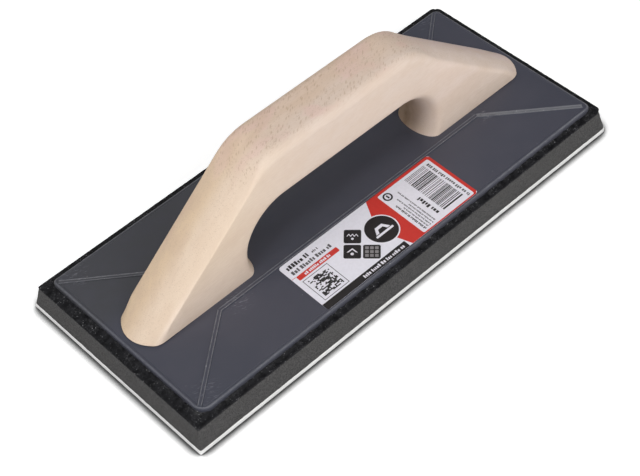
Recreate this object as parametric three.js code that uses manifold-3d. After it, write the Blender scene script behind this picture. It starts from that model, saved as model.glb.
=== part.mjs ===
// Grout float: a flat rubber-faced pad bonded under a moulded plate, with a bridge handle of beech
// screwed on from below. Millimetres, +Z up, +X along the pad. The origin is on the surface that
// the pad stands on, below the middle of the pad.

import * as THREE from 'three';
import { mergeVertices } from 'three/addons/utils/BufferGeometryUtils.js';
import Module from 'manifold-3d';

const wasm = await Module();
wasm.setup();

// Pad: a white wear sheet, grey foam rubber and a black film of contact adhesive on top.
const PAD_LENGTH = 250;
const PAD_WIDTH = 110;
const PAD_HEIGHT = 12.7;
const WEAR_SHEET_THICKNESS = 2;
const ADHESIVE_THICKNESS = 0.7;
const PAD_SIDE_LEAN = 2.65;
// The pad is cut by hand: its two far corners are rounder. From +X+Y, counter-clockwise.
const PAD_CORNER_RADII = [3.6, 0.8, 0.8, 3];

// Backing plate: an upright rim, and a top that rises like a low hipped roof to a flat plateau.
// It is glued on slightly off the middle of the pad.
const PLATE_LENGTH = 236.2;
const PLATE_WIDTH = 97.8;
const PLATE_SHIFT = { x: 0.6, y: -0.5 };
const PLATE_CORNER_RADII = [3, 2.4, 5.5, 3];
const RIM_TOP = 16;
const RIM_ROUNDING = 0.9;
const PLATEAU_LENGTH = 153;
const PLATEAU_WIDTH = 28.8;
const PLATEAU_SHIFT = { x: -0.8, y: -0.8 };
const PLATEAU_TOP = 17;
// Two ribs run along the plateau, and one from each of its corners to a corner of the rim. Both
// lists start at +X+Y and go counter-clockwise.
const RIB_BENDS = [[75.5, 14.6], [-78.6, 14.6], [-78.4, -16.2], [77.6, -16.2]];
const RIB_ENDS = [[115.3, 46.6], [-115.7, 45.3], [-115.7, -46.1], [115.6, -46.3]];
const RIB_WIDTH = 2;
const RIB_PROUD = 0.5;
const RIB_ROOT_DEPTH = 1.4;
const SEAT_INSET = 0.8;

// Handle: a bar bent into a bridge. Its outer face is nearly flat with well rounded edges along the
// grip, and barrel shaped with crisp edges down the slants. Each foot ends in a rounded toe. A sag
// is how far an arched face stands above its edges, measured square to the face.
const HANDLE_LENGTH = 230;
const HANDLE_WIDTH = 24.6;
const HANDLE_SHIFT = 0.7;
const GRIP_TOP = 77.2;
const SLANT_ANGLE = THREE.MathUtils.degToRad(40);
const SHOULDER_RADIUS = 26;
const GRIP_FACE = { sag: 0.7, edgeRadius: 4.8 };
const SLANT_FACE = { sag: 3, edgeRadius: 0.8 };
const TOE_FACE = { sag: 4.2, edgeRadius: 3.8 };
const TOE_SHARE = 0.12;
const INNER_CROWN = 6.3;
const SLOT_HALF_LENGTH = 53.6;
const SLOT_TOP = 47.2;
const SLOT_CORNER_RADIUS = 19.4;
const HEEL_FLARE = 2.5;
// The shoulder bend takes up this share of the way from the grip to the toe.
const SHOULDER_SHARE = 0.16;

// Wood screws, two in each foot, driven from under the plate.
const SCREW_PLACES = { inner: 68, outer: 90 };
const SCREW_HEAD_BOTTOM = 12.9;
const SCREW_HEAD_RADIUS = 3.8;
const SCREW_HEAD_HEIGHT = 2.2;
const SCREW_SHANK_RADIUS = 1.75;
const SCREW_LENGTH = 20;
const SCREW_POINT = 4;
const SCREW_CLEARANCE = 0.3;

// Label: a thin sticker on the long slope of the plate that faces -Y.
const LABEL_LENGTH = 91;
const LABEL_THICKNESS = 0.15;
const LABEL_GAP_TO_RIB = 0.15;
const LABEL_GAP_TO_RIM = 0.5;
const LABEL_CORNER_RADIUS = 1.5;
const LABEL_CENTRE_X = -1.2;

const MATERIALS = {
  wear_sheet: { color: 0xeceae6, roughness: 0.6, metalness: 0 },
  foam: { color: 0x4e4d4c, roughness: 0.9, metalness: 0 },
  adhesive: { color: 0x1e1e20, roughness: 0.4, metalness: 0 },
  plate: { color: 0x4c4d56, roughness: 0.5, metalness: 0 },
  beech: { color: 0xdfcbb8, roughness: 0.6, metalness: 0 },
  label: { color: 0xdcdbe2, roughness: 0.4, metalness: 0 },
  steel: { color: 0xb8babd, roughness: 0.35, metalness: 1 },
};

function material(name) {
  return new THREE.MeshStandardMaterial(MATERIALS[name]);
}

// One horizontal outline with rounded corners, counter-clockwise seen from above. radii holds one
// radius, or four from the +X+Y corner on.
function roundedLoop(halfLength, halfWidth, radii, z, cornerSteps = 5) {
  const quarter = Math.PI / 2;
  const points = [];
  [[1, 1], [-1, 1], [-1, -1], [1, -1]].forEach(([sideX, sideY], corner) => {
    const radius = radii[corner] ?? radii;
    const x = sideX * (halfLength - radius);
    const y = sideY * (halfWidth - radius);
    for (let step = 0; step <= cornerSteps; step += 1) {
      const angle = quarter * (corner + step / cornerSteps);
      points.push(new THREE.Vector3(x + radius * Math.cos(angle), y + radius * Math.sin(angle), z));
    }
  });
  return points;
}

// A closed skin over a stack of loops with the same number of points, each end closed by a fan.
function skinLoops(loops) {
  const count = loops[0].length;
  const points = loops.flat();
  const indices = [];
  for (let row = 0; row + 1 < loops.length; row += 1) {
    for (let i = 0; i < count; i += 1) {
      const a = row * count + i;
      const b = row * count + ((i + 1) % count);
      indices.push(a, b, b + count, a, b + count, a + count);
    }
  }
  const closeEnd = (loop, start, flip) => {
    const centre = loop.reduce((sum, p) => sum.add(p), new THREE.Vector3()).divideScalar(count);
    points.push(centre);
    const middle = points.length - 1;
    for (let i = 0; i < count; i += 1) {
      const a = start + i;
      const b = start + ((i + 1) % count);
      indices.push(...(flip ? [middle, b, a] : [middle, a, b]));
    }
  };
  closeEnd(loops[0], 0, true);
  closeEnd(loops.at(-1), (loops.length - 1) * count, false);
  const geometry = new THREE.BufferGeometry().setFromPoints(points);
  geometry.setIndex(indices);
  return geometry;
}

function toSolid(geometry) {
  const bare = geometry.clone();
  bare.deleteAttribute('normal');
  bare.deleteAttribute('uv');
  const merged = mergeVertices(bare);
  const vertProperties = new Float32Array(merged.attributes.position.array);
  const triVerts = new Uint32Array(merged.index.array);
  return new wasm.Manifold(new wasm.Mesh({ numProp: 3, vertProperties, triVerts }));
}

function toGeometry(solid) {
  const mesh = solid.getMesh();
  const geometry = new THREE.BufferGeometry();
  geometry.setAttribute('position', new THREE.BufferAttribute(mesh.vertProperties, 3));
  geometry.setIndex(new THREE.BufferAttribute(mesh.triVerts, 1));
  return geometry;
}

// Pad layers: slices of one block whose sides lean in towards the top.
function padSlice(bottom, top) {
  const loops = [bottom, top].map((z) => {
    const lean = (PAD_SIDE_LEAN * z) / PAD_HEIGHT;
    return roundedLoop(PAD_LENGTH / 2 - lean, PAD_WIDTH / 2 - lean, PAD_CORNER_RADII, z);
  });
  return skinLoops(loops);
}

// Screws stand along Z with the head down.
function screwOutline(clearance, withPoint) {
  const head = SCREW_HEAD_RADIUS + clearance;
  const shank = SCREW_SHANK_RADIUS + clearance;
  const base = SCREW_HEAD_BOTTOM - (clearance > 0 ? 1 : 0);
  const cone = SCREW_HEAD_BOTTOM + 0.3;
  const tip = SCREW_HEAD_BOTTOM + SCREW_LENGTH + clearance;
  const outline = [[0, base], [head, base], [head, cone], [shank, cone + SCREW_HEAD_HEIGHT]];
  outline.push(...(withPoint ? [[shank, tip - SCREW_POINT], [0, tip]] : [[shank, tip], [0, tip]]));
  return outline.map(([radius, z]) => new THREE.Vector2(radius, z));
}

function turned(outline, x) {
  const geometry = new THREE.LatheGeometry(outline, 20);
  return geometry.rotateX(Math.PI / 2).translate(x, 0, 0);
}

function screwCavities() {
  const outline = screwOutline(SCREW_CLEARANCE, false);
  const places = Object.values(SCREW_PLACES).flatMap((x) => [x, -x]);
  return places.map((x) => toSolid(turned(outline, x)));
}

function screw(x) {
  const slot = new THREE.BoxGeometry(0.9, 4.4, 2.4).translate(x, 0, SCREW_HEAD_BOTTOM);
  const crossSlot = new THREE.BoxGeometry(4.4, 0.9, 2.4).translate(x, 0, SCREW_HEAD_BOTTOM);
  const body = toSolid(turned(screwOutline(0, true), x));
  return toGeometry(body.subtract(toSolid(slot)).subtract(toSolid(crossSlot)));
}

// Backing plate.
function plateBlank() {
  const halfLength = PLATE_LENGTH / 2;
  const halfWidth = PLATE_WIDTH / 2;
  const place = new THREE.Vector3(PLATE_SHIFT.x, PLATE_SHIFT.y, 0);
  const rim = (inset, z) => {
    const radii = PLATE_CORNER_RADII.map((radius) => radius - inset);
    return roundedLoop(halfLength - inset, halfWidth - inset, radii, z).map((point) => point.add(place));
  };
  const inset = RIM_ROUNDING * 0.25;
  return skinLoops([
    rim(0, PAD_HEIGHT),
    rim(0, RIM_TOP - RIM_ROUNDING),
    rim(inset, RIM_TOP - inset),
    rim(RIM_ROUNDING, RIM_TOP),
    roundedLoop(PLATEAU_LENGTH / 2, PLATEAU_WIDTH / 2, 0.6, PLATEAU_TOP)
      .map((point) => point.add(new THREE.Vector3(PLATEAU_SHIFT.x, PLATEAU_SHIFT.y, 0))),
  ]);
}

// A rib is a straight bar whose top runs from one point to another, proud of the plate.
function rib(from, to) {
  const side = new THREE.Vector3().subVectors(to, from).setZ(0).normalize();
  side.set(-side.y, side.x, 0).multiplyScalar(RIB_WIDTH / 2);
  const ring = (point) => [[1, -RIB_ROOT_DEPTH], [1, RIB_PROUD], [-1, RIB_PROUD], [-1, -RIB_ROOT_DEPTH]]
    .map(([sign, rise]) => point.clone().addScaledVector(side, sign).add(new THREE.Vector3(0, 0, rise)));
  return skinLoops([ring(from), ring(to)]);
}

function plateRibs() {
  const bends = RIB_BENDS.map(([x, y]) => new THREE.Vector3(x, y, PLATEAU_TOP));
  const ends = RIB_ENDS.map(([x, y]) => new THREE.Vector3(x, y, RIM_TOP));
  const alongPlateau = [rib(bends[0], bends[1]), rib(bends[2], bends[3])];
  return [...alongPlateau, ...bends.map((bend, corner) => rib(bend, ends[corner]))];
}

// A level seat carries the feet where the plate falls away towards its ends.
function handleSeat() {
  const halfLength = HANDLE_LENGTH / 2 - SEAT_INSET;
  const halfWidth = HANDLE_WIDTH / 2 - SEAT_INSET;
  const levels = [PAD_HEIGHT + 1, PLATEAU_TOP];
  return skinLoops(levels.map((z) => roundedLoop(halfLength, halfWidth, halfWidth - 1, z)))
    .translate(HANDLE_SHIFT, 0, 0);
}

function backingPlate() {
  const raised = [handleSeat(), ...plateRibs()];
  const whole = raised.reduce((solid, piece) => solid.add(toSolid(piece)), toSolid(plateBlank()));
  return toGeometry(screwCavities().reduce((solid, hole) => solid.subtract(hole), whole));
}

// Handle. Both paths run from the grip down to a foot, in the XZ plane.
function outerPath() {
  const rise = GRIP_TOP - PLATEAU_TOP;
  const toe = new THREE.Vector2(HANDLE_LENGTH / 2, PLATEAU_TOP);
  const tangent = SHOULDER_RADIUS * Math.tan(SLANT_ANGLE / 2);
  const shoulderX = toe.x - rise / Math.tan(SLANT_ANGLE) - tangent;
  const path = new THREE.Path();
  const quarter = Math.PI / 2;
  path.absarc(shoulderX, GRIP_TOP - SHOULDER_RADIUS, SHOULDER_RADIUS, quarter, quarter - SLANT_ANGLE, true);
  path.lineTo(toe.x, toe.y);
  return path;
}

function innerPath() {
  const wallTop = SLOT_TOP - SLOT_CORNER_RADIUS;
  const path = new THREE.Path();
  path.absarc(SLOT_HALF_LENGTH - SLOT_CORNER_RADIUS, wallTop, SLOT_CORNER_RADIUS, Math.PI / 2, 0, true);
  path.quadraticCurveTo(SLOT_HALF_LENGTH, PLATEAU_TOP + 4, SLOT_HALF_LENGTH - HEEL_FLARE, PLATEAU_TOP);
  return path;
}

// Half of an arched face, from its middle out to the flat side: [distance from the middle, depth].
function archedFace({ sag, edgeRadius }, archSteps, edgeSteps) {
  const half = HANDLE_WIDTH / 2;
  const arch = (half * half + sag * sag) / (2 * sag);
  const edgeX = half - edgeRadius;
  const edgeDepth = arch - Math.sqrt((arch - edgeRadius) ** 2 - edgeX ** 2);
  const turn = Math.asin(edgeX / (arch - edgeRadius));
  const points = [];
  for (let step = 0; step < archSteps; step += 1) {
    const angle = (turn * step) / archSteps;
    points.push([arch * Math.sin(angle), arch * (1 - Math.cos(angle))]);
  }
  for (let step = 0; step <= edgeSteps; step += 1) {
    const angle = turn + ((Math.PI / 2 - turn) * step) / edgeSteps;
    points.push([edgeX + edgeRadius * Math.sin(angle), edgeDepth - edgeRadius * Math.cos(angle)]);
  }
  return points;
}

// One ring of the bar between an outer and an inner point. facing is the cosine between the line
// that joins them and the outer face's own direction.
function handleRing(outer, inner, face, facing) {
  const direction = new THREE.Vector2().subVectors(outer, inner).normalize();
  const half = HANDLE_WIDTH / 2;
  const ring = [];
  const add = (origin, y, sink) => {
    const point = origin.clone().addScaledVector(direction, sink);
    ring.push(new THREE.Vector3(point.x, y, point.y));
  };
  const arch = archedFace(face, 4, 3);
  arch.slice(1).reverse().forEach(([y, depth]) => add(outer, -y, -depth / facing));
  arch.forEach(([y, depth]) => add(outer, y, -depth / facing));
  const steps = 6;
  for (let step = 0; step <= steps; step += 1) {
    const angle = (0.5 - step / steps) * Math.PI;
    add(inner, half * Math.sin(angle), INNER_CROWN * (1 - Math.cos(angle)));
  }
  return ring;
}

function blendFaces(from, to, share) {
  const mix = THREE.MathUtils.smoothstep(share, 0, 1);
  return {
    sag: THREE.MathUtils.lerp(from.sag, to.sag, mix),
    edgeRadius: THREE.MathUtils.lerp(from.edgeRadius, to.edgeRadius, mix),
  };
}

// The rings of one leg, from the grip to the foot. side is 1 for the leg at +X and -1 for the other.
function legRings(side) {
  const steps = 18;
  const outerPoints = outerPath().getSpacedPoints(steps);
  const innerPoints = innerPath().getSpacedPoints(steps);
  return outerPoints.map((point, step) => {
    const along = step / steps;
    const slant = SLANT_ANGLE * Math.min(1, along / SHOULDER_SHARE);
    const lean = new THREE.Vector2().subVectors(point, innerPoints[step]).normalize();
    const facing = lean.x * Math.sin(slant) + lean.y * Math.cos(slant);
    const slantFace = blendFaces(GRIP_FACE, SLANT_FACE, along / (2 * SHOULDER_SHARE));
    const face = blendFaces(slantFace, TOE_FACE, 1 - (1 - along) / TOE_SHARE);
    const outer = new THREE.Vector2(side * point.x + HANDLE_SHIFT, point.y);
    const inner = new THREE.Vector2(side * innerPoints[step].x, innerPoints[step].y);
    return handleRing(outer, inner, face, facing);
  });
}

function handle() {
  const body = toSolid(skinLoops([...legRings(1).reverse(), ...legRings(-1)]));
  return toGeometry(screwCavities().reduce((solid, hole) => solid.subtract(hole), body));
}

// Label: an extruded outline laid on the slope between a rib and the rim.
function label() {
  const foot = new THREE.Vector2(PLATE_SHIFT.y - (PLATE_WIDTH / 2 - RIM_ROUNDING), RIM_TOP);
  const head = new THREE.Vector2(PLATEAU_SHIFT.y - PLATEAU_WIDTH / 2, PLATEAU_TOP);
  const slope = Math.atan2(head.y - foot.y, head.x - foot.x);
  const run = foot.distanceTo(head) - RIB_WIDTH - LABEL_GAP_TO_RIB - LABEL_GAP_TO_RIM;
  const length = LABEL_LENGTH - 2 * LABEL_CORNER_RADIUS;
  const width = run - 2 * LABEL_CORNER_RADIUS;
  const outline = new THREE.Shape();
  [[1, 1], [-1, 1], [-1, -1], [1, -1]].forEach(([x, y], corner) => {
    const start = (corner * Math.PI) / 2;
    const end = start + Math.PI / 2;
    outline.absarc((x * length) / 2, (y * width) / 2, LABEL_CORNER_RADIUS, start, end, false);
  });
  const geometry = new THREE.ExtrudeGeometry(outline, {
    depth: LABEL_THICKNESS,
    bevelEnabled: false,
    curveSegments: 4,
  });
  const middle = LABEL_GAP_TO_RIM + run / 2;
  const lift = 0.02;
  const y = foot.x + middle * Math.cos(slope) - lift * Math.sin(slope);
  const z = foot.y + middle * Math.sin(slope) + lift * Math.cos(slope);
  return geometry.rotateX(slope).translate(LABEL_CENTRE_X, y, z);
}

const foamTop = PAD_HEIGHT - ADHESIVE_THICKNESS;
const pieces = [
  ['wear_sheet', padSlice(0, WEAR_SHEET_THICKNESS), 'wear_sheet'],
  ['foam_pad', padSlice(WEAR_SHEET_THICKNESS, foamTop), 'foam'],
  ['adhesive_film', padSlice(foamTop, PAD_HEIGHT), 'adhesive'],
  ['backing_plate', backingPlate(), 'plate'],
  ['handle', handle(), 'beech'],
  ['label', label(), 'label'],
];
for (const [place, x] of Object.entries(SCREW_PLACES)) {
  pieces.push([`screw_near_${place}`, screw(-x), 'steel']);
  pieces.push([`screw_far_${place}`, screw(x), 'steel']);
}

const float = new THREE.Group();
for (const [name, geometry, finish] of pieces) {
  const mesh = new THREE.Mesh(geometry, material(finish));
  mesh.name = name;
  float.add(mesh);
}

export default float;
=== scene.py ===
"""Looks of a grout float: a beech bridge handle on a moulded plastic plate, glued to a foam rubber
pad with a white wear sheet. Lengths are millimetres until a mesh, a node or a light is made; MM
turns them into metres. +X is the far end of the float and -Y the side with the label."""

import math
import random

import bmesh
import bpy
import numpy as np
from mathutils import Matrix, Vector, noise


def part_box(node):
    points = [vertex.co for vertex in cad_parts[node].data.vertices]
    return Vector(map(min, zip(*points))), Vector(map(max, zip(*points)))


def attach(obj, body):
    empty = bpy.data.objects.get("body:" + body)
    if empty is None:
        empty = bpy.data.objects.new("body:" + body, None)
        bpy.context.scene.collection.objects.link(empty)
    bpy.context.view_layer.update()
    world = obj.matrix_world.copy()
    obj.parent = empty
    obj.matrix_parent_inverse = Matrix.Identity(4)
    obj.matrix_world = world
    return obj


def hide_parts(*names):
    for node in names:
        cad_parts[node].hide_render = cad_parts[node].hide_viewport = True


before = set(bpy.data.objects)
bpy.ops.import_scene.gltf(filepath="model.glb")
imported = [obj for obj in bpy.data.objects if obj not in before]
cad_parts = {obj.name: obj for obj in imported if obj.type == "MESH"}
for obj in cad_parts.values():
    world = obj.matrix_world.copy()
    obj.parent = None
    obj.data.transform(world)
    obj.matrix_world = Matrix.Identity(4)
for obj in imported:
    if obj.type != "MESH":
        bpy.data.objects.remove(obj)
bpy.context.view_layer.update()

MM = 0.001
BODY = "root"
QUARTER = math.pi / 2


def box_mm(node):
    """The lowest and highest corner of a CAD node, in millimetres."""
    low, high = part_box(node)
    return np.array(low) / MM, np.array(high) / MM


# Sizes that the frame gives.
WEAR_LOW, WEAR_HIGH = box_mm("wear_sheet")
FOAM_LOW, FOAM_HIGH = box_mm("foam_pad")
FILM_LOW, FILM_HIGH = box_mm("adhesive_film")
PLATE_LOW, PLATE_HIGH = box_mm("backing_plate")
HANDLE_LOW, HANDLE_HIGH = box_mm("handle")
LABEL_LOW, LABEL_HIGH = box_mm("label")

# Pad. Corner radii are listed counter-clockwise from the +X+Y corner.
PAD_CORNER_RADII = (3.6, 0.8, 0.8, 3)
PAD_SIDE_LEAN = 2.65
PAD_CORNER_STEPS = 5
PAD_EDGE_STEPS = (230, 100)

# Glue bead. It stands in from the pad's outline by BEAD_INSETS at its foot, half-way and top, but
# out over the foam by BEAD_OVERHANG along the +X and the +Y edge. It is tucked under the plate.
BEAD_HEIGHT = 1.5
BEAD_INSETS = (0.12, 0.08, 0.05)
BEAD_OVERHANG = (0.55, 0.4)
BEAD_EDGE_DROP = 0.25
BEAD_EDGE_WAVE = 0.15
BEAD_TUCK = 0.35
BEAD_DIP = 0.35
BEAD_ROWS = 18
BEAD_CORNER_STEPS = 12
BEAD_EDGE_STEPS = (840, 360)

# Backing plate: its rim, the groove inside the rim's lip, the low hipped top and the ribs. Ribs
# run between the bends and from each bend to its end near a corner of the plate.
PLATE_CORNER_RADII = (3, 2.4, 5.5, 3)
PLATE_CORNER_STEPS = 8
PLATE_EDGE_STEPS = (48, 20)
RIM_HEIGHT = 3.3
RIM_TOP = PLATE_LOW[2] + RIM_HEIGHT
RIM_FOOT_BREAK = 0.2
RIM_ROUNDING = 0.9
RIM_ROUNDING_STEPS = 9
# Rows of the lip's rounding whose pale streaks are rubbed wear and a painted highlight.
RIM_RUBBED_AND_HIGHLIT_ROWS = 5
RIM_DRAFT = 0.15
LIP_WIDTH = 1.3
GROOVE_WIDTH = 0.6
GROOVE_DEPTH = 0.18
PLATEAU_LENGTH = 153
PLATEAU_WIDTH = 28.8
PLATEAU_CORNER_RADIUS = 0.4
PLATEAU_SHIFT = (-0.8, -0.8)
PLATEAU_RISE = 1
RIB_BENDS = ((75.5, 14.6), (-78.6, 14.6), (-78.4, -16.2), (77.6, -16.2))
RIB_ENDS = ((115.3, 46.6), (-115.7, 45.3), (-115.7, -46.1), (115.6, -46.3))
SCUFFED_RIB = 3
RIB_WIDTH = 2
RIB_LIP = 0.5
RIB_HOLLOW = 0.16
RIB_PROUD = 0.5
RIB_ROOT_DEPTH = 1.2
SEAT_MARGIN = 0.8
SEAT_ROOT = 1.5
SEAT_CLEARANCE = 0.01

# Handle. Each face is (how far its arch bulges, radius of its edges). SHOULDER_SHARE and TOE_SHARE
# are the shares of a leg's run that its bend at the top and its rounder foot take.
SLANT_ANGLE = math.radians(40)
SHOULDER_RADIUS = 26
SHOULDER_SHARE = 0.16
GRIP_FACE = (0.7, 4.8)
SLANT_FACE = (3.0, 0.8)
SOFT_SLANT_FACE = (3.0, 2.6)
TOE_FACE = (4.2, 3.8)
TOE_SHARE = 0.12
INNER_CROWN = 6.3
SLOT_HALF_LENGTH = 53.6
SLOT_TOP = 47.2
SLOT_CORNER_RADIUS = 19.4
HEEL_FLARE = 2.5
HEEL_HEIGHT = 4
LEG_STEPS = 110
GRIP_STEPS = 30

# Label.
LABEL_THICKNESS = 0.15
PRINT_STEP = 0.03

# Worn spots on the plate, each as x, y and reach.
SCUFFS = ((-70, -18, 9), (-109, -43, 9), (80, -18, 7), (-108, 44, 10), (108, 44, 7))

# Stage.
FLOOR_GLOW = 0.42
FLOOR_HALF = 4000
FLOOR_DROP = 0.02
CONTACT_REACH = 6
SKY_HORIZON = 0.5
SKY_ZENITH = 0.02


# ---------------------------------------------------------------- node materials


def add_node(tree, kind, inputs=(), **settings):
    """A shader node. inputs maps a socket's name or number to a value or another node's output."""
    made = tree.nodes.new(kind)
    for key, value in settings.items():
        setattr(made, key, value)
    for key, value in dict(inputs).items():
        if isinstance(value, bpy.types.NodeSocket):
            tree.links.new(value, made.inputs[key])
        else:
            made.inputs[key].default_value = value
    return made


def object_place(tree):
    return add_node(tree, "ShaderNodeTexCoord").outputs["Object"]


def object_mm(tree, stretch, turn):
    """Object coordinates in millimetres, turned by degrees about each axis and then divided by
    stretch, which is a number or one for each axis."""
    if not hasattr(stretch, "__len__"):
        stretch = (stretch,) * 3
    turned_place = add_node(tree, "ShaderNodeMapping", {
        "Vector": object_place(tree),
        "Rotation": [math.radians(angle) for angle in turn],
    }).outputs[0]
    return add_node(tree, "ShaderNodeMapping", {
        "Vector": turned_place,
        "Scale": [1 / (MM * size) for size in stretch],
    }).outputs[0]


def cloud(tree, size, detail=3, turn=(0, 0, 0), roughness=0.5, distortion=0):
    """Noise from 0 to 1 whose blobs measure about size, a number or three numbers."""
    return add_node(tree, "ShaderNodeTexNoise", {
        "Vector": object_mm(tree, size, turn),
        "Scale": 1,
        "Detail": detail,
        "Roughness": roughness,
        "Distortion": distortion,
    }).outputs[0]


def cells(tree, size, turn=(0, 0, 0)):
    """Voronoi cells about size across: the distance from a cell's middle, and its random colour."""
    place = object_mm(tree, size, turn)
    made = add_node(tree, "ShaderNodeTexVoronoi", {"Vector": place, "Scale": 1})
    return made.outputs["Distance"], made.outputs["Color"]


def between(tree, value, low, high, out_low=0, out_high=1):
    """value taken smoothly from low..high to out_low..out_high."""
    return add_node(tree, "ShaderNodeMapRange", {
        "Value": value,
        "From Min": low,
        "From Max": high,
        "To Min": out_low,
        "To Max": out_high,
    }, interpolation_type="SMOOTHSTEP").outputs[0]


def calc(tree, operation, first, second):
    return add_node(tree, "ShaderNodeMath", {0: first, 1: second}, operation=operation).outputs[0]


def product(tree, first, *others):
    for other in others:
        first = calc(tree, "MULTIPLY", first, other)
    return first


def mixed(tree, share, first, second):
    """Two colours mixed; each is an output or a red, green, blue triple."""
    paint = [c if isinstance(c, bpy.types.NodeSocket) else (*c, 1) for c in (first, second)]
    made = add_node(tree, "ShaderNodeMix", {0: share, 6: paint[0], 7: paint[1]}, data_type="RGBA")
    return made.outputs[2]


def axis_share(tree, axis, low, high):
    """0 at low and 1 at high, two places in millimetres along one axis of the object."""
    place = add_node(tree, "ShaderNodeSeparateXYZ", {0: object_place(tree)}).outputs[axis]
    return between(tree, place, low * MM, high * MM)


def new_material(name, **fixed):
    """A Principled material and its node tree. fixed sets the shader's own sockets."""
    made = bpy.data.materials.new(name)
    made.use_nodes = True
    shader = made.node_tree.nodes["Principled BSDF"]
    for key, value in fixed.items():
        shader.inputs[key.replace("_", " ")].default_value = value
    return made, made.node_tree


def finish_material(made, colour, roughness, relief=()):
    """Links colour and roughness, and stacks bump nodes from (height, depth in mm) pairs."""
    tree = made.node_tree
    shader = tree.nodes["Principled BSDF"]
    tree.links.new(colour, shader.inputs["Base Color"])
    tree.links.new(roughness, shader.inputs["Roughness"])
    normal = None
    for height, depth in relief:
        inputs = {"Height": height, "Distance": depth * MM, "Strength": 1}
        if normal is not None:
            inputs["Normal"] = normal
        normal = add_node(tree, "ShaderNodeBump", inputs).outputs[0]
    if normal is not None:
        tree.links.new(normal, shader.inputs["Normal"])
    return made


def beech():
    """Pale sanded beech, its grain along X: soft rings, fine fibres and short dark ray flecks. The
    near leg is yellower; the far tip is pinker, with painted shade darkening it towards +Y; painted
    light brightens the -Y side low down; and painted shade darkens the far end wall of the finger
    slot towards +Y."""
    made, tree = new_material("beech_sanded", Specular_IOR_Level=0.25)

    # Where on the handle.
    from_near_leg = axis_share(tree, "X", -75, -5)
    # Share of the far tip's pink tone and its painted shade.
    far_tip_tone_and_shade_share = axis_share(tree, "X", 42, 66)
    across = axis_share(tree, "Y", -9, 7)
    top_face = axis_share(tree, "Y", -11.6, -8)
    on_grip = product(tree, top_face, axis_share(tree, "Z", 60, 73))
    # Where painted light brightens the -Y side low down.
    low_side_painted_light = product(tree, axis_share(tree, "Y", -10, -12), axis_share(tree, "Z", 48, 20))
    slot_end = product(tree, axis_share(tree, "X", 62, 55), axis_share(tree, "X", 44, 50))
    # Where painted shade darkens the far end wall of the slot towards +Y.
    slot_wall_painted_shade = product(tree, slot_end, axis_share(tree, "Z", 44, 34), across)

    # The wood's own pattern.
    rings = between(tree, cloud(tree, (120, 4.5, 9), 2, (0, 4, -3), distortion=0.6), 0.38, 0.66)
    blotches = between(tree, cloud(tree, (13, 6, 9), 3, (0, 10, -8), 0.6), 0.36, 0.66)
    blush = between(tree, cloud(tree, (19, 10, 12), 2, (20, 40, 10)), 0.5, 0.64)
    fibres = cloud(tree, (5.5, 0.34, 0.34), 3, (0, 2, -4), 0.6)

    def pores(size, turn, rarity, where):
        distance, cell = cells(tree, size, turn)
        chosen = between(tree, cell, rarity, rarity + 0.2)
        return product(tree, between(tree, distance, 0.4, 0.2), chosen, where)

    flecks = pores((3.4, 0.85, 1.1), (0, 0, -40), 0.32, on_grip)
    spots = pores((1.6, 0.5, 0.5), (0, 2, -6), 0.42, top_face)

    near = mixed(tree, axis_share(tree, "Y", -3.5, 5), (0.765, 0.62, 0.485), (0.745, 0.57, 0.39))
    far = mixed(tree, across, (0.715, 0.595, 0.515), (0.72, 0.565, 0.46))
    # The far tip: pinker wood, with painted shade darkening it towards +Y.
    far_tip_pink_and_shade = mixed(tree, across, (0.80, 0.66, 0.58), (0.60, 0.435, 0.425))
    colour = mixed(tree, from_near_leg, near, far)
    for paint, share in (
        # Pink tone and painted shade on the far tip.
        (far_tip_pink_and_shade, product(tree, far_tip_tone_and_shade_share, 0.9)),
        # Painted light low on the -Y side.
        ((0.86, 0.71, 0.60), product(tree, low_side_painted_light, 0.8)),
        # Painted shade on the slot's far end wall.
        ((0.34, 0.225, 0.14), slot_wall_painted_shade),
        ((0.745, 0.53, 0.475), product(tree, blush, on_grip, 0.6)),
        ((0.66, 0.50, 0.37), product(tree, rings, 0.2)),
        ((0.65, 0.48, 0.35), product(tree, blotches, between(tree, across, 0, 1, 0.18, 0.55))),
        ((0.58, 0.44, 0.34), between(tree, fibres, 0.3, 0.8, 0, 0.3)),
        ((0.45, 0.30, 0.19), product(tree, flecks, 0.46)),
        ((0.46, 0.33, 0.23), product(tree, spots, 0.38)),
    ):
        colour = mixed(tree, share, colour, paint)
    roughness = between(tree, fibres, 0.2, 0.8, 0.5, 0.66)
    return finish_material(made, colour, roughness, [
        (fibres, 0.03),
        (calc(tree, "SUBTRACT", 1, flecks), 0.05),
    ])


def scuff_zone(tree):
    """1 in the middle of each worn spot and 0 away from them."""
    place = object_place(tree)
    zone = 0
    for x, y, reach in SCUFFS:
        centre = (x * MM, y * MM, PLATE_HIGH[2] * MM)
        away = add_node(tree, "ShaderNodeVectorMath", {0: place, 1: centre}, operation="DISTANCE")
        zone = calc(tree, "MAXIMUM", zone, between(tree, away.outputs["Value"], reach * MM, 0))
    return zone


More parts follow.
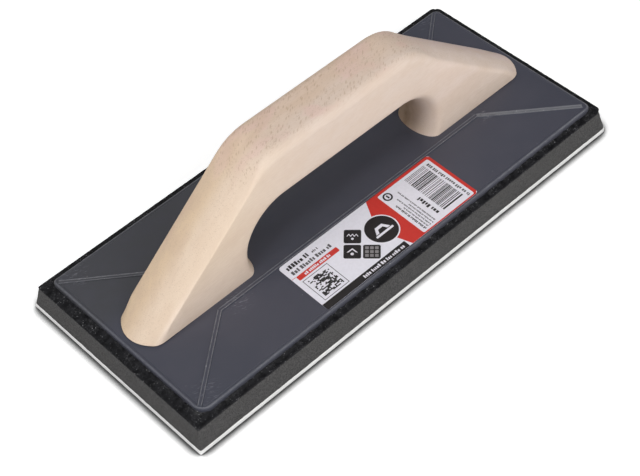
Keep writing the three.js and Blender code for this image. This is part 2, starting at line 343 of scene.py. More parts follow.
def plastic(name, rubbed_and_highlit=0):
    """Slate grey moulded plastic with a few nicks, less blue towards -X and +Y. The last argument,
    0 for none, is the strength of pale streaks and nicks that are rubbed wear and a painted
    highlight, most of all towards +X and -Y."""
    made, tree = new_material(name, Specular_IOR_Level=0.3)
    tone = between(tree, cloud(tree, 34, 2), 0.3, 0.7)
    haze = between(tree, cloud(tree, 9, 4, roughness=0.62), 0.35, 0.75)
    neutral = product(tree, axis_share(tree, "Y", 4, 22), axis_share(tree, "X", 60, -20))
    distance, cell = cells(tree, 8.5)
    dust_and_glints = product(tree, between(tree, distance, 0.035, 0.018), between(tree, cell, 0.55, 0.6))
    scrape = between(tree, cloud(tree, (3.2, 0.45, 1), 3, (0, 0, 25), 0.6), 0.56, 0.7)
    # Darker towards the foot of the rim.
    darker_towards_rim_foot = axis_share(tree, "Z", RIM_TOP - 0.6, PLATE_LOW[2] + 0.6)
    layers = [
        ((0.059, 0.060, 0.066), product(tree, neutral, 0.8)),
        ((0.078, 0.078, 0.099), product(tree, haze, 0.25)),
        ((0.26, 0.25, 0.25), product(tree, dust_and_glints, 0.5)),
        ((0.27, 0.27, 0.31), product(tree, scrape, scuff_zone(tree), 0.8)),
    ]
    if rubbed_and_highlit:
        place = add_node(tree, "ShaderNodeSeparateXYZ", {0: object_place(tree)}).outputs
        towards_corner = calc(tree, "SUBTRACT", place["X"], place["Y"])
        wear_and_highlight_share = between(tree, towards_corner, 80 * MM, 130 * MM, 0.6, 1)
        rubbed_and_highlight_streaks = between(tree, cloud(tree, (2.6, 1.6, 2.6), 4, roughness=0.7), 0.3, 0.7, 0.35, 1)
        nicks = between(tree, cloud(tree, (1.5, 1.0, 1.0), 3), 0.66, 0.74)
        # Pale streaks and nicks: rubbed wear and a painted highlight, strongest towards +X and -Y.
        layers += [
            ((0.16, 0.164, 0.182), product(tree, rubbed_and_highlight_streaks, wear_and_highlight_share, rubbed_and_highlit)),
            ((0.34, 0.34, 0.36), product(tree, nicks, wear_and_highlight_share, rubbed_and_highlit)),
        ]
    layers.append(((0.016, 0.016, 0.019), product(tree, darker_towards_rim_foot, 0.4)))
    colour = mixed(tree, tone, (0.058, 0.061, 0.081), (0.066, 0.067, 0.088))
    for paint, share in layers:
        colour = mixed(tree, share, colour, paint)
    roughness = between(tree, haze, 0, 1, 0.36, 0.5)
    return finish_material(made, colour, roughness, [
        (cloud(tree, 16, 1), 0.1),
        (cloud(tree, 0.45, 2), 0.008),
    ])


def foam_rubber():
    """Dark grey foam rubber, cut: a fine open cell with paler walls."""
    made, tree = new_material("foam_rubber", Specular_IOR_Level=0.15)
    distance, cell = cells(tree, 0.62)
    pores = between(tree, distance, 0.2, 0.6)
    mottle = cloud(tree, 0.9, 3, roughness=0.7)
    drift = between(tree, cloud(tree, (30, 30, 8), 2), 0.3, 0.7)
    colour = mixed(tree, pores, (0.042, 0.041, 0.0415), (0.087, 0.085, 0.085))
    colour = mixed(tree, between(tree, mottle, 0.35, 0.75, 0, 0.6), colour, (0.055, 0.054, 0.054))
    colour = mixed(tree, product(tree, drift, 0.25), colour, (0.076, 0.075, 0.071))
    glint = product(tree, between(tree, cell, 0.82, 0.9), between(tree, distance, 0.3, 0.15))
    colour = mixed(tree, product(tree, glint, 0.6), colour, (0.26, 0.255, 0.25))
    roughness = between(tree, mottle, 0.2, 0.8, 0.78, 0.95)
    return finish_material(made, colour, roughness, [(pores, 0.16), (mottle, 0.12)])


def wear_rubber():
    """Off-white solid rubber with a faint haze and a fine matt grain."""
    made, tree = new_material("wear_rubber", Specular_IOR_Level=0.35)
    haze = between(tree, cloud(tree, (14, 14, 3), 3), 0.3, 0.75)
    grain = cloud(tree, 0.5, 3, roughness=0.65)
    colour = mixed(tree, haze, (0.84, 0.835, 0.83), (0.78, 0.775, 0.77))
    colour = mixed(tree, between(tree, grain, 0.55, 0.8, 0, 0.35), colour, (0.62, 0.61, 0.60))
    roughness = between(tree, grain, 0.3, 0.7, 0.5, 0.68)
    return finish_material(made, colour, roughness, [(grain, 0.03)])


def contact_adhesive():
    """Black contact adhesive, glossier where it pooled, dull where it dragged, with painted glints.
    """
    made, tree = new_material("contact_adhesive", Specular_IOR_Level=0.16)
    drag = between(tree, cloud(tree, 2.4, 3, roughness=0.6), 0.35, 0.65)
    beads = cloud(tree, 0.6, 3, roughness=0.7)
    # Where painted glints gather: paler lump tops and pale specks.
    glint_zone = between(tree, cloud(tree, 5, 3, roughness=0.7), 0.46, 0.62)
    distance, cell = cells(tree, 0.9)
    dust_and_glints = product(tree, between(tree, distance, 0.26, 0.14), between(tree, cell, 0.56, 0.66))
    colour = mixed(tree, drag, (0.005, 0.005, 0.006), (0.012, 0.012, 0.014))
    # Painted glints: paler tops on the lumps.
    colour = mixed(tree, product(tree, glint_zone, between(tree, beads, 0.45, 0.7)),
                   colour, (0.05, 0.05, 0.054))
    # Painted glints: pale specks.
    colour = mixed(tree, product(tree, dust_and_glints, between(tree, glint_zone, 0, 1, 0.3, 1)),
                   colour, (0.26, 0.26, 0.27))
    roughness = between(tree, drag, 0, 1, 0.42, 0.7)
    return finish_material(made, colour, roughness, [(beads, 0.12)])


def paper(name, colour):
    """A printed sticker's surface: one ink or the bare sheet, a little uneven."""
    made, tree = new_material(name, Specular_IOR_Level=0.4)
    mottle = between(tree, cloud(tree, 1.3, 3), 0.3, 0.75)
    shade = mixed(tree, mottle, colour, tuple(level * 0.95 for level in colour))
    roughness = between(tree, cloud(tree, 6, 3), 0.3, 0.7, 0.31, 0.44)
    return finish_material(made, shade, roughness, [(cloud(tree, 7, 1), 0.04)])


def zinc():
    """Bright zinc plate on steel."""
    made, tree = new_material("zinc_plate", Metallic=1)
    haze = cloud(tree, 0.9, 3)
    colour = mixed(tree, haze, (0.62, 0.63, 0.65), (0.5, 0.51, 0.53))
    return finish_material(made, colour, between(tree, haze, 0.3, 0.7, 0.22, 0.42), [(haze, 0.01)])


# ---------------------------------------------------------------- mesh building


def rounded_loop(half_x, half_y, radii, corner_steps, edge_steps, centre=(0, 0)):
    """A rounded rectangle as rows of x, y, counter-clockwise. radii is one radius, or four from the
    +X+Y corner on. edge_steps is (along X, along Y)."""
    if not hasattr(radii, "__len__"):
        radii = (radii,) * 4
    corners = [(1, 1), (-1, 1), (-1, -1), (1, -1)]

    def on_corner(corner, share):
        angle = (corner + share) * QUARTER
        side_x, side_y = corners[corner % 4]
        radius = radii[corner % 4]
        return (side_x * (half_x - radius) + radius * math.cos(angle),
                side_y * (half_y - radius) + radius * math.sin(angle))

    points = []
    for corner in range(4):
        points += [on_corner(corner, step / corner_steps) for step in range(corner_steps + 1)]
        start = np.array(points[-1])
        end = np.array(on_corner(corner + 1, 0))
        steps = edge_steps[corner % 2]
        points += [tuple(start + (end - start) * step / steps) for step in range(1, steps)]
    return np.array(points) + centre


def at_height(loop, z):
    return np.column_stack([loop, np.broadcast_to(z, len(loop))])


def skin(rings):
    """Vertices and faces of a closed skin over rings of equal length, a fan over each end."""
    count = len(rings[0])
    vertices = [tuple(point) for ring in rings for point in ring]
    faces = []
    for row in range(len(rings) - 1):
        for i in range(count):
            a = row * count + i
            b = row * count + (i + 1) % count
            faces.append((a, b, b + count, a + count))
    for start, ring, order in ((0, rings[0], -1), (count * (len(rings) - 1), rings[-1], 1)):
        vertices.append(tuple(np.mean(ring, axis=0)))
        middle = len(vertices) - 1
        for i in range(count):
            edge = (start + i, start + (i + 1) % count)[::order]
            faces.append((middle, *edge))
    return vertices, faces


def make_mesh(name, vertices, faces, materials, indices=None, crease=35):
    """A mesh object from millimetre vertices, smooth except across edges sharper than crease.
    indices gives each face's material."""
    mesh = bpy.data.meshes.new(name)
    mesh.from_pydata([tuple(c * MM for c in vertex) for vertex in vertices], [], faces)
    for material in materials:
        mesh.materials.append(material)
    if indices is not None:
        mesh.polygons.foreach_set("material_index", indices)
    work = bmesh.new()
    work.from_mesh(mesh)
    bmesh.ops.recalc_face_normals(work, faces=work.faces)
    work.to_mesh(mesh)
    work.free()
    smooth_mesh(mesh, crease)
    return place_in_scene(name, mesh)


def place_in_scene(name, data):
    made = bpy.data.objects.new(name, data)
    bpy.context.scene.collection.objects.link(made)
    return made


def smooth_mesh(mesh, crease):
    mesh.shade_smooth()
    mesh.set_sharp_from_angle(angle=math.radians(crease))


def stand_for(piece, node):
    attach(piece, BODY)
    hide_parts(node)
    return piece


def rough(point, size, seed=0):
    """Smooth noise from -1 to 1 with bumps about size across."""
    return noise.noise(Vector(point) / size + Vector((seed * 7.3, seed * 3.1, seed * 5.7)))


# ---------------------------------------------------------------- pad


def pad_outline(z, inset, corner_steps, edge_steps):
    """The pad's outline at height z: its sides lean in towards the top."""
    lean = PAD_SIDE_LEAN * z / FILM_HIGH[2] + inset
    half_x = WEAR_HIGH[0] - lean
    half_y = WEAR_HIGH[1] - lean
    return rounded_loop(half_x, half_y, PAD_CORNER_RADII, corner_steps, edge_steps)


def pad_layer(name, low, high, material, waviness, wave_size, edge_break, rows, seed):
    """One slice of the pad, its cut sides uneven by waviness and its edges broken by edge_break."""
    levels = [(low, edge_break), (low + edge_break, 0)]
    levels += [(low + (high - low) * row / rows, 0) for row in range(1, rows)]
    levels += [(high - edge_break, 0), (high, edge_break)]
    rings = []
    for z, inset in sorted(levels):
        loop = pad_outline(z, inset + waviness, PAD_CORNER_STEPS, PAD_EDGE_STEPS)
        ring = at_height(loop, z)
        for point in ring:
            push = waviness * rough(point, wave_size, seed)
            outward = point[:2] / WEAR_HIGH[:2]
            on_side = np.abs(outward) > 0.9
            point[:2] += np.where(on_side, np.sign(outward), 0) * push
        rings.append(ring)
    vertices, faces = skin(rings)
    return make_mesh(name, vertices, faces, [material])


def wear_sheet():
    piece = pad_layer("wear_sheet_rubber", WEAR_LOW[2], WEAR_HIGH[2], wear_rubber(),
                      waviness=0.05, wave_size=4, edge_break=0.3, rows=4, seed=1)
    return stand_for(piece, "wear_sheet")


def foam_pad():
    piece = pad_layer("foam_pad_cut", FOAM_LOW[2], FOAM_HIGH[2], foam_rubber(),
                      waviness=0.11, wave_size=1.6, edge_break=0.15, rows=12, seed=2)
    stand_for(piece, "foam_pad")
    return piece


def bead_height(point, share):
    """How far the bead rises at a point, share of the way in from the pad's edge to the plate."""
    lumps = (0.35 * rough(point, 1.6, 3) + 0.45 * rough(point, 0.7, 4)
             + 0.5 * rough(point, 4.5, 5))
    strings = max(0, rough(point, 1.9, 8) - 0.12) * max(0, rough(point, 9, 9) + 0.25)
    climb = BEAD_HEIGHT * share ** 2.6 * (0.8 + 0.75 * rough(point, 3.2, 6))
    swell = math.sin(math.pi * min(1, share + 0.1)) ** 0.5 if share < 0.9 else 0
    return max(-BEAD_DIP, climb + (0.4 * lumps + 0.8 * strings) * swell)


def adhesive_bead():
    """The glue film: flat under the plate, and a lumpy bead squeezed out round the plate."""
    low, high = FILM_LOW[2], FILM_HIGH[2]
    detail = (BEAD_CORNER_STEPS, BEAD_EDGE_STEPS)
    foot_inset, middle_inset, top_inset = BEAD_INSETS
    outer = pad_outline(high, top_inset, *detail)
    outer += np.where(outer > outer.max(axis=0) - 1, BEAD_OVERHANG, 0)
    inner = plate_outline(BEAD_TUCK, *detail)
    middle = (low + high) / 2
    rings = [at_height(pad_outline(low, foot_inset, *detail), low),
             at_height(pad_outline(middle, middle_inset, *detail), middle)]
    for row in range(BEAD_ROWS + 1):
        share = row / BEAD_ROWS
        ring = at_height(outer + (inner - outer) * share, high)
        for point in ring:
            point[2] += bead_height(point, share)
            if row == 0:
                point[2] = high - BEAD_EDGE_DROP + BEAD_EDGE_WAVE * rough(point, 1.5, 7)
        rings.append(ring)
    rings.append(at_height(inner * 0.995, high - 0.05))
    vertices, faces = skin(rings)
    piece = make_mesh("adhesive_bead", vertices, faces, [contact_adhesive()], crease=60)
    return stand_for(piece, "adhesive_film")


# ---------------------------------------------------------------- plate


def plate_outline(inset, corner_steps, edge_steps):
    """The backing plate's outline, drawn in by inset."""
    half = (PLATE_HIGH - PLATE_LOW) / 2 - inset
    centre = (PLATE_HIGH + PLATE_LOW) / 2
    radii = [max(0.3, radius - inset) for radius in PLATE_CORNER_RADII]
    return rounded_loop(half[0], half[1], radii, corner_steps, edge_steps, centre[:2])


def plate_body(materials):
    """The rim, its rounded lip with a fine groove inside it, and the low hipped top. The lip's
    rounding takes the third material, whose pale streaks are rubbed wear and a painted highlight."""
    def ring(inset, z):
        return at_height(plate_outline(inset, PLATE_CORNER_STEPS, PLATE_EDGE_STEPS), z)

    base = PLATE_LOW[2]
    rings = [ring(RIM_FOOT_BREAK, base), ring(0, base + RIM_FOOT_BREAK)]
    for step in range(RIM_ROUNDING_STEPS + 1):
        angle = QUARTER * step / RIM_ROUNDING_STEPS
        inset = RIM_DRAFT + RIM_ROUNDING * (1 - math.cos(angle))
        rings.append(ring(inset, RIM_TOP - RIM_ROUNDING * (1 - math.sin(angle))))
    # Rows whose material paints a highlight along the lip as well as rubbed wear.
    rubbed_and_highlit = range(len(rings) - 1 - RIM_RUBBED_AND_HIGHLIT_ROWS, len(rings) - 1)
    lip = RIM_DRAFT + LIP_WIDTH
    for share, depth in ((0, 0), (0.25, 0.8), (0.5, 1), (0.75, 0.8), (1, 0)):
        rings.append(ring(lip + GROOVE_WIDTH * share, RIM_TOP - GROOVE_DEPTH * depth))
    foot = rings[-1]
    plateau = at_height(
        rounded_loop(PLATEAU_LENGTH / 2, PLATEAU_WIDTH / 2, PLATEAU_CORNER_RADIUS,
                     PLATE_CORNER_STEPS, PLATE_EDGE_STEPS, PLATEAU_SHIFT),
        RIM_TOP + PLATEAU_RISE)
    rings += [foot + (plateau - foot) * share for share in (0.2, 0.4, 0.6, 0.8, 1)]
    vertices, faces = skin(rings)
    indices = [2 if i // len(foot) in rubbed_and_highlit else 0 for i in range(len(faces))]
    return make_mesh("backing_plate_moulded", vertices, faces, materials, indices)


def rib_bar(start, end, scuffed):
    """One moulded rib: a low bar with two fine lips and a shallow hollow between them. The second
    material, whose pale streaks are wear and a painted highlight, covers its lips, or all of it if
    scuffed."""
    start, end = np.array(start, float), np.array(end, float)
    run = end - start
    along = run[:2] / np.linalg.norm(run[:2])
    side = np.array([-along[1], along[0], 0])
    half = RIB_WIDTH / 2
    right = [
        (half + 0.12, -RIB_ROOT_DEPTH),
        (half, RIB_PROUD - 0.2),
        (half - 0.1, RIB_PROUD - 0.05),
        (half - 0.25, RIB_PROUD),
        (half - RIB_LIP, RIB_PROUD - 0.04),
        (half - RIB_LIP - 0.2, RIB_PROUD - RIB_HOLLOW),
    ]
    section = right + [(-x, z) for x, z in right[::-1]]
    rings = []
    for share in np.linspace(0, 1, 9):
        centre = start + run * share
        rings.append(np.array([centre + side * x + np.array([0, 0, z]) for x, z in section]))
    vertices, faces = skin(rings)
    count = len(section)
    # The lips take the material whose pale streaks paint their highlight as well as wear.
    lips = (2, 3, count - 5, count - 4)
    bars = count * (len(rings) - 1)
    indices = [1 if scuffed or i < bars and i % count in lips else 0 for i in range(len(faces))]
    return make_mesh("rib", vertices, faces, [None] * 3, indices)


def join_solids(base, tool):
    """The union of two solids, in base. The tool is used up."""
    modifier = base.modifiers.new("join", "BOOLEAN")
    modifier.operation = "UNION"
    modifier.solver = "EXACT"
    modifier.object = tool
    bpy.context.view_layer.update()
    evaluated = base.evaluated_get(bpy.context.evaluated_depsgraph_get())
    whole = bpy.data.meshes.new_from_object(evaluated)
    base.modifiers.remove(modifier)
    base.data = whole
    bpy.data.objects.remove(tool)


def seat(materials):
    """The level seat that carries the handle's feet where the plate falls away."""
    half_length = (HANDLE_HIGH[0] - HANDLE_LOW[0]) / 2 - SEAT_MARGIN
    half_width = HANDLE_HIGH[1] - SEAT_MARGIN
    centre = ((HANDLE_HIGH[0] + HANDLE_LOW[0]) / 2, 0)
    loop = rounded_loop(half_length, half_width, half_width - 1, 10, (4, 2), centre)
    levels = (PLATE_LOW[2] + SEAT_ROOT, HANDLE_LOW[2] - SEAT_CLEARANCE)
    vertices, faces = skin([at_height(loop, z) for z in levels])
    return make_mesh("seat", vertices, faces, materials)


def backing_plate():
    # The rib and rim materials carry pale streaks that are rubbed wear and a painted highlight.
    materials = [plastic("plate_plastic"), plastic("rib_plastic_rubbed_and_highlit", 1.9), plastic("rim_plastic_rubbed_and_highlit", 1)]
    piece = plate_body(materials)
    join_solids(piece, seat(materials))
    bends = [(x, y, RIM_TOP + PLATEAU_RISE) for x, y in RIB_BENDS]
    ends = [(x, y, RIM_TOP) for x, y in RIB_ENDS]
    for start, end in [(bends[0], bends[1]), (bends[2], bends[3]), *zip(bends, ends)]:
        join_solids(piece, rib_bar(start, end, end == ends[SCUFFED_RIB]))
    smooth_mesh(piece.data, 30)
    return stand_for(piece, "backing_plate")


# ---------------------------------------------------------------- handle


def spread(points, count):
    """count + 1 points at equal steps along a line of points."""
    points = np.array(points)
    lengths = np.r_[0, np.cumsum(np.linalg.norm(np.diff(points, axis=0), axis=1))]
    wanted = np.linspace(0, lengths[-1], count + 1)
    return np.column_stack([np.interp(wanted, lengths, points[:, axis]) for axis in (0, 1)])


def arc_points(centre, radius, start, end):
    return [(centre[0] + radius * math.cos(a), centre[1] + radius * math.sin(a))
            for a in np.linspace(start, end, 60)]


def outer_path():
    """From the end of the grip over the shoulder and down to the toe, as x, z."""
    top, foot = HANDLE_HIGH[2], HANDLE_LOW[2]
    toe_x = (HANDLE_HIGH[0] - HANDLE_LOW[0]) / 2
    tangent = SHOULDER_RADIUS * math.tan(SLANT_ANGLE / 2)
    shoulder_x = toe_x - (top - foot) / math.tan(SLANT_ANGLE) - tangent
    bend = arc_points((shoulder_x, top - SHOULDER_RADIUS), SHOULDER_RADIUS,
                      QUARTER, QUARTER - SLANT_ANGLE)
    return bend + [(toe_x, foot)]


def inner_path():
    """From the end of the slot's level top round its corner and down to the heel, as x, z."""
    foot = HANDLE_LOW[2]
    wall_top = SLOT_TOP - SLOT_CORNER_RADIUS
    bend = arc_points((SLOT_HALF_LENGTH - SLOT_CORNER_RADIUS, wall_top), SLOT_CORNER_RADIUS,
                      QUARTER, 0)
    a = np.array((SLOT_HALF_LENGTH, wall_top))
    b = np.array((SLOT_HALF_LENGTH, foot + HEEL_HEIGHT))
    c = np.array((SLOT_HALF_LENGTH - HEEL_FLARE, foot))
    heel = [tuple((1 - t) ** 2 * a + 2 * t * (1 - t) * b + t * t * c)
            for t in np.linspace(0, 1, 24)]
    return bend + heel[1:]


def arched_face(bulge, edge_radius, arch_steps=10, edge_steps=7):
    """Half of an arched face as (distance from the middle, depth), out to the flat side. bulge is
    how far an unrounded face would stand out in the middle."""
    half = HANDLE_HIGH[1]
    arch = (half ** 2 + bulge ** 2) / (2 * bulge)
    edge_x = half - edge_radius
    edge_depth = arch - math.sqrt((arch - edge_radius) ** 2 - edge_x ** 2)
    turn = math.asin(edge_x / (arch - edge_radius))
    angles = [turn * step / arch_steps for step in range(arch_steps)]
    points = [(arch * math.sin(a), arch * (1 - math.cos(a))) for a in angles]
    for step in range(edge_steps + 1):
        angle = turn + (QUARTER - turn) * step / edge_steps
        points.append((edge_x + edge_radius * math.sin(angle),
                       edge_depth - edge_radius * math.cos(angle)))
    return points


def flat_side(start, end, steps=6):
    """The points between two points of one side, as ((x, z), y), without the two."""
    return [(start[0] + (end[0] - start[0]) * step / steps, start[1]) for step in range(1, steps)]


def handle_ring(outer, inner, face, facing, inner_steps=18):
    """A section from outer, its arched face, to inner, its crowned one, with flat sides between.
    facing is the cosine between the section and the outer face's normal."""
    direction = (outer - inner) / np.linalg.norm(outer - inner)
    arch = arched_face(*face)
    outer_face = [(outer - direction * depth / facing, -y) for y, depth in arch[:0:-1]]
    outer_face += [(outer - direction * depth / facing, y) for y, depth in arch]
    inner_face = []
    for step in range(inner_steps + 1):
        angle = (0.5 - step / inner_steps) * math.pi
        sink = INNER_CROWN * (1 - math.cos(angle))
        inner_face.append((inner + direction * sink, HANDLE_HIGH[1] * math.sin(angle)))
    ring = outer_face + flat_side(outer_face[-1], inner_face[0])
    ring += inner_face + flat_side(inner_face[-1], outer_face[0])
    return np.array([(point[0], y, point[1]) for point, y in ring])


def blend_faces(first, second, share):
    share = min(1, max(0, share))
    mix = share * share * (3 - 2 * share)
    return tuple(a + (b - a) * mix for a, b in zip(first, second))


def leg_rings(side, slant_face):
    """Sections from the end of the grip down one leg, at +X if side is 1 and at -X if it is -1."""
    outer_points = spread(outer_path(), LEG_STEPS)
    inner_points = spread(inner_path(), LEG_STEPS)
    shift = (HANDLE_HIGH[0] + HANDLE_LOW[0]) / 2
    rings = []
    for step, (outer, inner) in enumerate(zip(outer_points, inner_points)):
        along = step / LEG_STEPS
        slant = SLANT_ANGLE * min(1, along / SHOULDER_SHARE)
        lean = (outer - inner) / np.linalg.norm(outer - inner)
        facing = lean[0] * math.sin(slant) + lean[1] * math.cos(slant)
        face = blend_faces(GRIP_FACE, slant_face, along / (2 * SHOULDER_SHARE))
        face = blend_faces(face, TOE_FACE, 1 - (1 - along) / TOE_SHARE)
        rings.append(handle_ring(outer * (side, 1) + (shift, 0), inner * (side, 1), face, facing))
    return rings


def handle():
    far, near = leg_rings(1, SOFT_SLANT_FACE), leg_rings(-1, SLANT_FACE)
    grip = [far[0] + (near[0] - far[0]) * step / GRIP_STEPS for step in range(1, GRIP_STEPS)]
    vertices, faces = skin(far[::-1] + grip + near)
    piece = make_mesh("handle_beech", vertices, faces, [beech()], crease=40)
    return stand_for(piece, "handle")


# ---------------------------------------------------------------- label


class Print:
    """Flat patches of ink on the label, in millimetres from its inner left corner: u along +X and
    v down the slope. Each patch is a thin closed slab, and a higher level lies over a lower one."""

    def __init__(self, inks):
        self.inks = list(inks)
        self.materials = list(inks.values())
        self.vertices, self.faces, self.indices = [], [], []
        fall = LABEL_LOW[2] + LABEL_THICKNESS - LABEL_HIGH[2]
        run = np.array([LABEL_LOW[1] - LABEL_HIGH[1], fall])
        self.length = LABEL_HIGH[0] - LABEL_LOW[0]
        self.width = np.linalg.norm(run)
        run = run / self.width
        self.origin = np.array([LABEL_LOW[0], LABEL_HIGH[1], LABEL_HIGH[2]])
        self.down = np.array([0, run[0], run[1]])
        self.up = np.array([0, run[1], -run[0]])

    def place(self, u, v, height):
        return self.origin + np.array([u, 0, 0]) + self.down * v + self.up * height

    def patch(self, outline, ink, level=1):
        first = len(self.vertices)
        count = len(outline)
        for height in (-PRINT_STEP / 2, PRINT_STEP * level):
            self.vertices += [tuple(self.place(u, v, height)) for u, v in outline]
        self.faces.append(tuple(range(first, first + count)))
        self.faces.append(tuple(range(first + 2 * count - 1, first + count - 1, -1)))
        for i in range(count):
            j = (i + 1) % count
            self.faces.append((first + i, first + j, first + count + j, first + count + i))
        self.indices += [self.inks.index(ink)] * (count + 2)

    def block(self, u0, v0, u1, v1, ink, level=1, radius=0):
        if radius == 0:
            self.patch([(u0, v0), (u1, v0), (u1, v1), (u0, v1)], ink, level)
            return
        centre = ((u0 + u1) / 2, (v0 + v1) / 2)
        loop = rounded_loop((u1 - u0) / 2, (v1 - v0) / 2, radius, 4, (1, 1), centre)
        self.patch(loop, ink, level)

    def disc(self, u, v, radius, ink, level=1, sides=40):
        angles = [2 * math.pi * i / sides for i in range(sides)]
        loop = [(u + radius * math.cos(a), v + radius * math.sin(a)) for a in angles]
        self.patch(loop, ink, level)

    def marks(self, start, end, size, ink, rng, level=1, upright=False):
        """A line of plain block marks in place of lettering, from start to end along u, or along v
        if upright. size is the height of the tallest mark."""
        here = start[1] if upright else start[0]
        across = start[0] if upright else start[1]
        while here < end - size * 0.3:
            for _ in range(rng.randint(2, 6)):
                width = size * rng.uniform(0.35, 0.6)
                if here + width > end:
                    break
                trim = size * rng.choice((0, 0, 0.22, 0.3))
                low, high = across + trim, across + size
                if upright:
                    self.block(low, here, high, here + width, ink, level)
                else:
                    self.block(here, low, here + width, high, ink, level)
                here += width + size * 0.2
            here += size * 0.35


def label_text(art, rng):
    """Lines of marks with a red strip at the left, and a black strip along the lower edge."""
    art.marks((2.3, 1.9), 15, 2.2, "black_ink", rng)
    art.marks((16.4, 2.8), 20, 1.2, "grey_ink", rng)
    art.marks((2.3, 5.3), 25.8, 2.0, "grey_ink", rng)
    art.block(0.1, 8.55, 2.3, 8.75, "red_ink")
    art.block(2.3, 8.7, 25.6, 11.3, "red_ink", radius=0.5)
    art.marks((6.2, 9.3), 21.8, 1.35, "white_ink", rng, level=2)
    top, right, bottom = 27.1, 48.4, art.width
    art.patch([(0, top), (right, top), (right, bottom), (1, bottom), (0.3, bottom - 0.3),
               (0, bottom - 1)], "black_ink")
    art.marks((22.6, 28.1), 46.8, 1.6, "white_ink", rng, level=2)


def label_code_square(art, rng):
    """A framed square of random modules."""
    left, top, right, bottom, line = 2.6, 12.3, 16.8, 26.2, 0.3
    art.block(left, top, right, top + line, "grey_ink")
    art.block(left, bottom - line, right, bottom, "grey_ink")
    art.block(left, top + line, left + line, bottom - line, "grey_ink")
    art.block(right - line, top + line, right, bottom - line, "grey_ink")
    modules, first_u, first_v = 18, 4.3, 13.8
    size = 10.9 / modules
    for row in range(modules):
        v = first_v + row * size
        column = 0
        while column < modules:
            run = min(rng.choice((1, 1, 2, 3)), modules - column)
            if rng.random() < 0.55:
                u = first_u + column * size
                art.block(u, v, u + run * size, v + 0.96 * size, "black_ink")
            column += run


def turned(centre, points):
    """Points given to the right of and below centre in a frame that is turned by 45 degrees."""
    share = math.sqrt(0.5)
    return [(centre[0] + (x - y) * share, centre[1] + (x + y) * share) for x, y in points]


def label_tiles(art):
    """Three plain tiles: a wavy line over a dot, a roof over a dot, and a grid of squares."""
    wavy, roofed, squared = (34.6, 9.7), (28.7, 15.6), (34.6, 21.5)
    for centre in (wavy, roofed, squared):
        art.patch(turned(centre, rounded_loop(3.75, 3.75, 0.8, 4, (1, 1))), "black_ink")
    wave = [(-2.4 + 0.2 * i, 0.5 * math.cos(i * math.pi / 4) - 1) for i in range(25)]
    art.patch(turned(wavy, wave + [(x, y + 0.6) for x, y in wave[::-1]]), "white_ink", 2)
    roof = [(-2.4, 0.4), (0, -1.9), (2.4, 0.4), (1.6, 0.4), (0, -1.1), (-1.6, 0.4)]
    art.patch(turned(roofed, roof), "white_ink", 2)
    for (u, v), radius in ((wavy, 0.6), (roofed, 0.75)):
        art.disc(u - 0.9, v + 0.9, radius, "white_ink", 2, 16)
    for row in (-1, 0, 1):
        for column in (-1, 0, 1):
            square = rounded_loop(0.75, 0.75, 0.15, 2, (1, 1), (2.1 * column, 2.1 * row))
            art.patch(turned(squared, square), "pale_ink", 2)


def label_sign(art):
    """A red field, and over its edge a round black sign with a float's outline."""
    right, bottom, corner = art.length, art.width, 1.2
    art.patch([(52.3, 0), (right - corner, 0), (right, corner), (right, bottom - corner),
               (right - corner, bottom), (50.2, bottom), (46.6, 20.5), (46.6, 10.5)], "red_ink")
    u, v = 46.3, 15.6
    art.disc(u, v, 8.1, "white_ink", 2, 64)
    art.disc(u, v, 7.5, "black_ink", 3, 64)
    art.block(u - 5, v + 1.6, u + 5, v + 2.7, "white_ink", 4, 0.3)
    bridge = [(-4.1, 1.2), (-2, -2.2), (2, -2.2), (4.1, 1.2),
              (2.4, 1.2), (1.4, -0.7), (-1.4, -0.7), (-2.4, 1.2)]
    art.patch([(u + x, v + y) for x, y in bridge], "white_ink", 4)


def label_panel(art, rng):
    """The white panel on the red field: a ring sign, upright lines of marks and a bar pattern."""
    art.block(57.7, 1.5, 89.3, 30.0, "white_ink", 2, 0.8)
    art.disc(61.1, 4.7, 2.3, "black_ink", 3)
    art.disc(61.1, 4.7, 1.5, "white_ink", 4)
    art.block(60.7, 3.7, 61.5, 5.7, "black_ink", 5)
    art.marks((59.4, 10.9), 29.1, 1.05, "black_ink", rng, 3, True)
    for start in ((61.2, 14.0), (62.7, 8.6), (64.2, 14.2), (65.8, 5.8)):
        art.marks(start, 29.1, 0.75, "grey_ink", rng, 3, True)
    art.marks((68.9, 14.7), 28.6, 2.1, "black_ink", rng, 3, True)
    v, last_start, bottom = 3.1, 27.4, 27.6
    while v < last_start:
        width = rng.choice((0.25, 0.25, 0.4, 0.65, 0.8))
        art.block(73.1, v, 85.2, min(v + width, bottom), "black_ink", 3)
        v += width + rng.choice((0.25, 0.3, 0.45, 0.7))
    art.marks((86.3, 3.6), 29.2, 1.5, "grey_ink", rng, 3, True)


def dress(node, material):
    """Keeps a CAD node's shape and gives it one material."""
    node.data.materials.clear()
    node.data.materials.append(material)


def label():
    """The CAD sheet keeps its shape; the print is a piece of its own."""
    dress(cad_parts["label"], paper("label_sheet", (0.75, 0.745, 0.82)))
    art = Print({
        "black_ink": paper("black_ink", (0.015, 0.014, 0.016)),
        "grey_ink": paper("grey_ink", (0.10, 0.095, 0.105)),
        "pale_ink": paper("pale_ink", (0.24, 0.23, 0.24)),
        "red_ink": paper("red_ink", (0.56, 0.036, 0.028)),
        "white_ink": paper("white_ink", (0.76, 0.75, 0.82)),
    })
    rng = random.Random(5)
    label_text(art, rng)
    label_code_square(art, rng)
    label_tiles(art)
    label_sign(art)
    label_panel(art, rng)
    piece = make_mesh("label_print", art.vertices, art.faces, art.materials, art.indices)
    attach(piece, BODY)


def screws():
    finish = zinc()
    for name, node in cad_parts.items():
        if name.startswith("screw_"):
            dress(node, finish)


# ---------------------------------------------------------------- stage


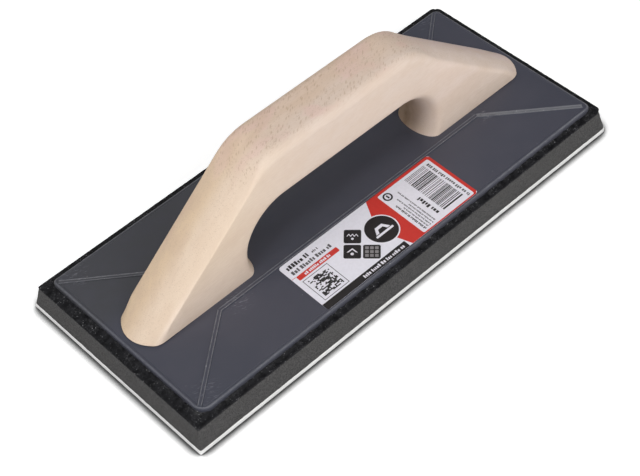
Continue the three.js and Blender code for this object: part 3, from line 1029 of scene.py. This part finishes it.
def floor():
    """A plain white sweep that fills the view; close to what stands on it, a painted contact shadow
    darkens its colour and glow.
    """
    made, tree = new_material("white_floor", Roughness=0.9, Specular_IOR_Level=0,
                              Emission_Color=(1, 1, 1, 1))
    shader = tree.nodes["Principled BSDF"]
    # Painted contact shadow: ambient occlusion darkens the floor's colour and glow close to the
    # float.
    open_share = add_node(tree, "ShaderNodeAmbientOcclusion", {"Distance": CONTACT_REACH * MM})
    outside_painted_shadow = between(tree, open_share.outputs["AO"], 0.62, 0.97)
    colour = mixed(tree, outside_painted_shadow, (0.04, 0.04, 0.04), (0.85, 0.85, 0.85))
    tree.links.new(colour, shader.inputs["Base Color"])
    tree.links.new(product(tree, outside_painted_shadow, FLOOR_GLOW), shader.inputs["Emission Strength"])
    corners = [(x * FLOOR_HALF, y * FLOOR_HALF, -FLOOR_DROP)
               for x, y in ((-1, -1), (1, -1), (1, 1), (-1, 1))]
    make_mesh("floor", corners, [(0, 1, 2, 3)], [made])


def backwards(azimuth, elevation):
    """The direction from the float to a light or camera, its angles in radians. Azimuth 0 is on
    the -Y side and 90 degrees on the +X side."""
    return Vector((math.sin(azimuth) * math.cos(elevation),
                   -math.cos(azimuth) * math.cos(elevation), math.sin(elevation)))


def area_light(name, azimuth, elevation, size, power, distance=1.8):
    """A square soft light aimed at the float, its angles in degrees."""
    back = backwards(math.radians(azimuth), math.radians(elevation))
    lamp = bpy.data.lights.new(name, "AREA")
    lamp.shape = "SQUARE"
    lamp.size = size
    lamp.energy = power
    made = place_in_scene(name, lamp)
    made.location = back * distance + Vector((0, 0, 0.03))
    made.rotation_euler = (-back).to_track_quat("-Z", "Y").to_euler()


def studio():
    """Softboxes inside a pale sweep that darkens upwards: one high on the -X side, three round the
    -Y side and a weak one behind."""
    world = bpy.data.worlds.new("studio")
    bpy.context.scene.world = world
    world.use_nodes = True
    tree = world.node_tree
    direction = add_node(tree, "ShaderNodeTexCoord").outputs["Generated"]
    height = add_node(tree, "ShaderNodeSeparateXYZ", {0: direction}).outputs["Z"]
    background = tree.nodes["Background"]
    background.inputs["Color"].default_value = (1, 1, 1, 1)
    strength = between(tree, height, 0, 0.34, SKY_HORIZON, SKY_ZENITH)
    tree.links.new(strength, background.inputs["Strength"])
    area_light("left", -90, 59, 1.1, 14.2)
    area_light("front_low", 0, 12, 1, 6)
    area_light("front", 0, 42, 1, 10)
    area_light("overhead", -50, 66, 1.1, 9.5)
    area_light("back", 150, 52, 1, 1.8)
    bpy.context.scene.view_settings.view_transform = "Standard"


def camera():
    """Looks down on the near left corner, the picture's top leaning a little to the right."""
    azimuth, elevation, roll = math.radians(-40.115), math.radians(49.139), math.radians(4.74)
    distance, lens = 0.69341, 91.53
    target = Vector((-0.02404, -0.01964, 0.020))
    back = backwards(azimuth, elevation)
    right = (-back).cross(Vector((0, 0, 1))).normalized()
    up = right.cross(-back)
    rolled_right = right * math.cos(roll) - up * math.sin(roll)
    rolled_up = up * math.cos(roll) + right * math.sin(roll)
    data = bpy.data.cameras.new("camera")
    data.lens = lens
    data.sensor_width = 36
    made = place_in_scene("camera", data)
    facing = Matrix((rolled_right, rolled_up, back)).transposed().to_4x4()
    made.matrix_world = Matrix.Translation(target + back * distance) @ facing
    bpy.context.scene.camera = made


camera()
studio()
floor()
wear_sheet()
foam_pad()
adhesive_bead()
backing_plate()
handle()
label()
screws()
